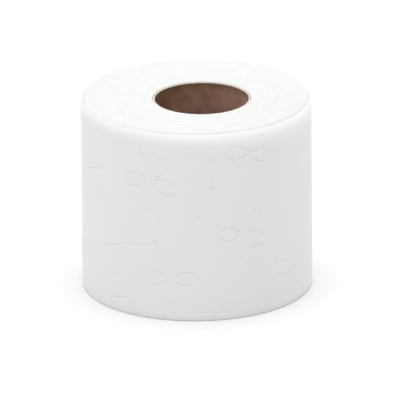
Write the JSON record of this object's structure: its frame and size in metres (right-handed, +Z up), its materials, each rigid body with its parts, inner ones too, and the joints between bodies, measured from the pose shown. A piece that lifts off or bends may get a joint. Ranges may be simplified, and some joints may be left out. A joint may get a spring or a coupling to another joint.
{
  "type": "toilet paper roll",
  "caption": "Roll of embossed white toilet tissue wound on an off-centre board core, standing on its end, with an open bore for a spindle.",
  "frame": {"origin": "on the core's axis, in the plane that the roll stands on", "axes": "+Z up along the core's axis; -Y is the side that the picture sees; +X is the picture's right"},
  "size_m": [0.111, 0.1112, 0.095],
  "materials": {
    "core_board": "matte",
    "tissue": "matte, embossed"
  },
  "bodies": {
    "root": {"cardboard_core": "core_board", "paper_winding": "tissue"}
  },
  "joints": []
}
